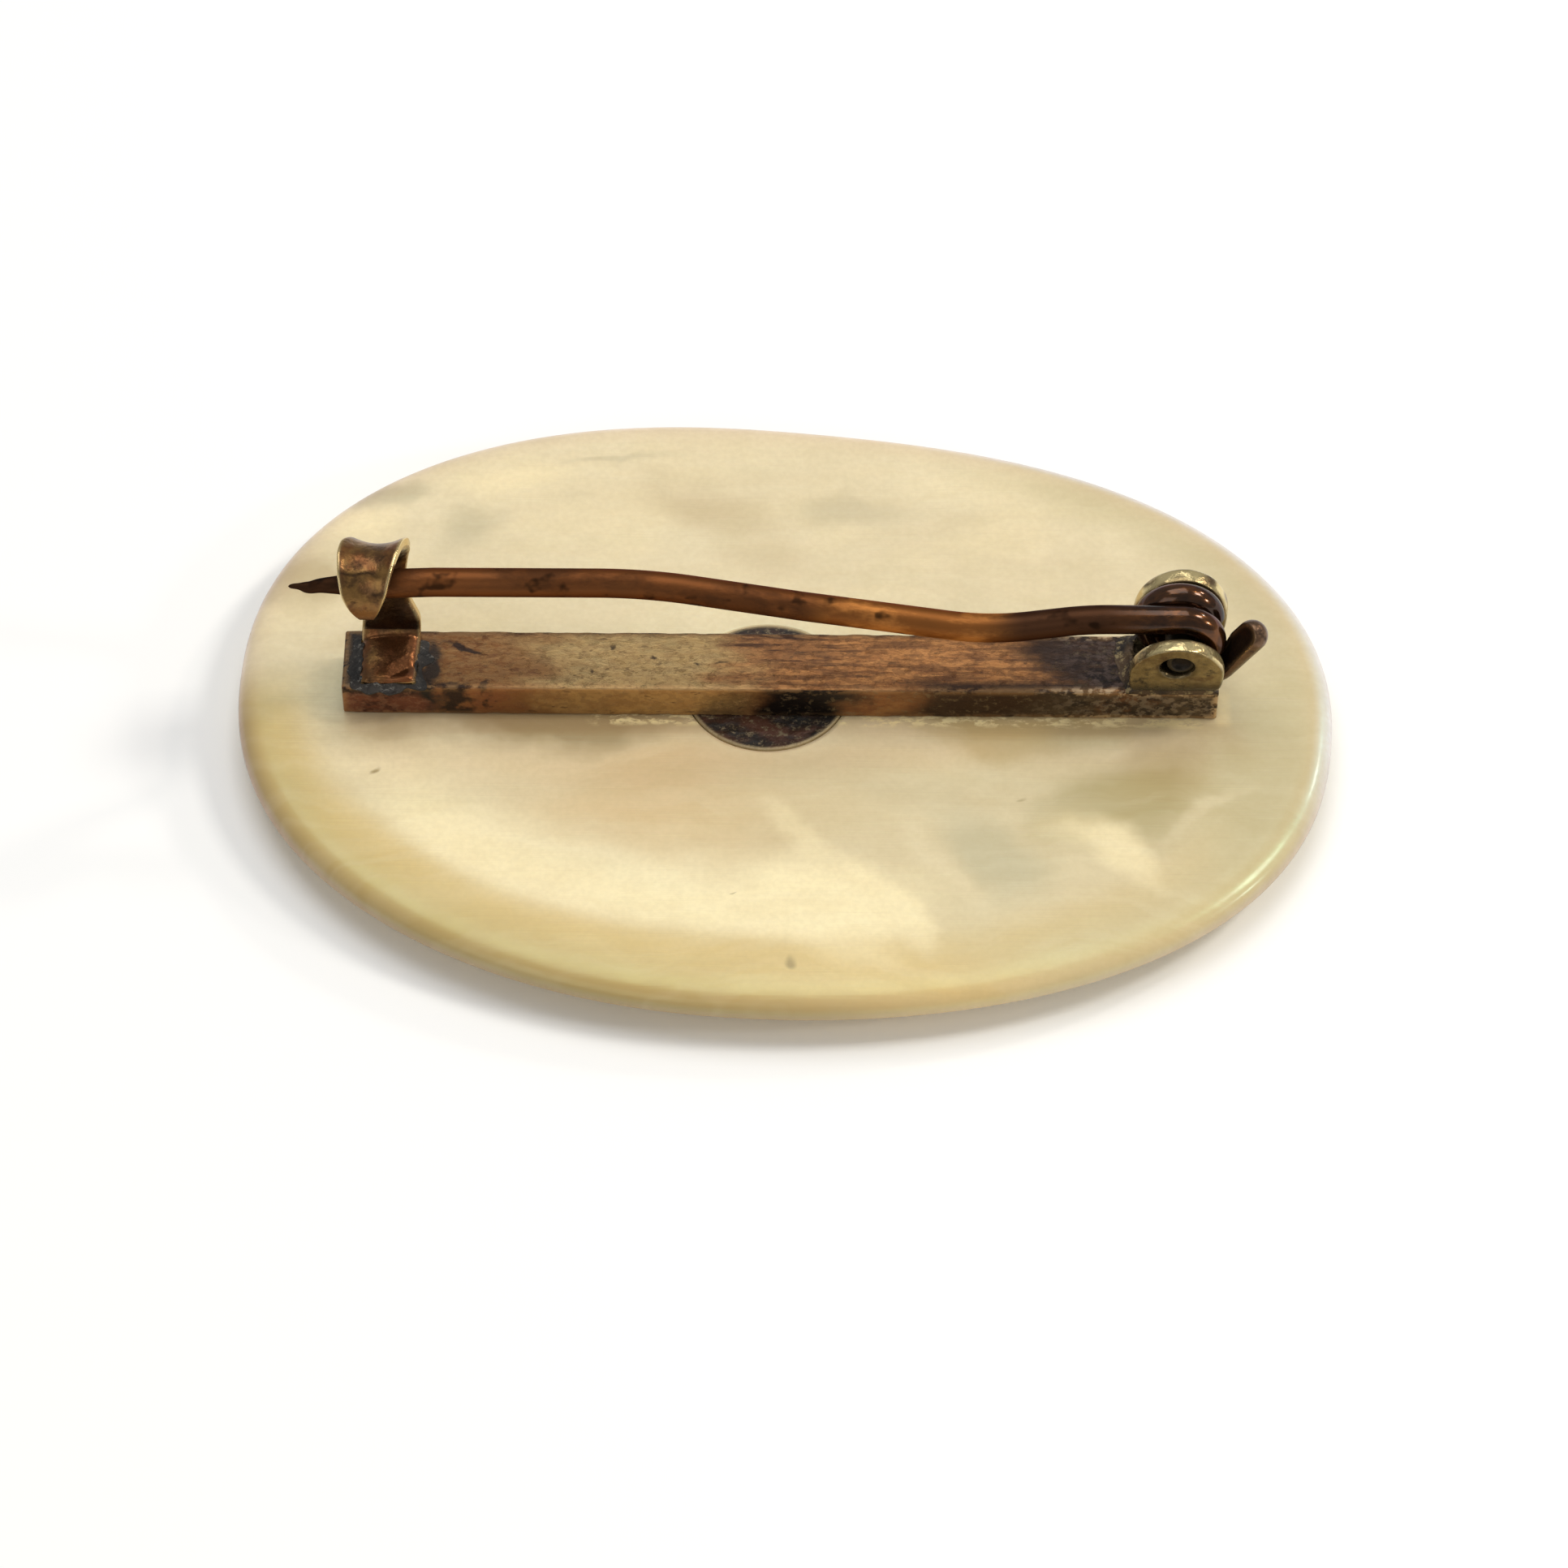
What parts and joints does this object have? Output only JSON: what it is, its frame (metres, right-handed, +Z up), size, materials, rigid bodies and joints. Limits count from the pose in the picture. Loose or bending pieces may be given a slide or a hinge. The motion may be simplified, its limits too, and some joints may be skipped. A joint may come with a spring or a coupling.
{
  "type": "mother of pearl brooch",
  "caption": "Oval mother of pearl brooch seen from its back, with a soldered metal bar, a bent C catch and a pin wire that swings on a coil in a riveted joint.",
  "frame": {"origin": "on the flat front face of the shell, under the middle of the shell's outline, with the brooch lying on its front", "axes": "+X along the bar, from the catch towards the joint; +Y across the oval, towards the catch's neck; +Z up, out of the back"},
  "size_m": [0.0404, 0.0282, 0.0093],
  "materials": {
    "nacre": "polished mother of pearl, creamy with a soft sheen",
    "aged_brass": "worn and tarnished, dark in the corners",
    "rivet_metal": "dark tarnish",
    "pin_metal": "copper brown tarnish, smooth drawn wire"
  },
  "bodies": {
    "brooch": {"shell_plaque": "nacre", "back_fitting": "aged_brass", "hinge_rivet": "rivet_metal"},
    "pin": {"pin_wire": "pin_metal"}
  },
  "joints": [
    {"name": "pin_hinge", "type": "hinge", "parent": "brooch", "child": "pin", "pos_m": [0.01433, 0.00055, 0.00563], "axis": [0, 1, 0], "range_deg": [0, 100]}
  ]
}
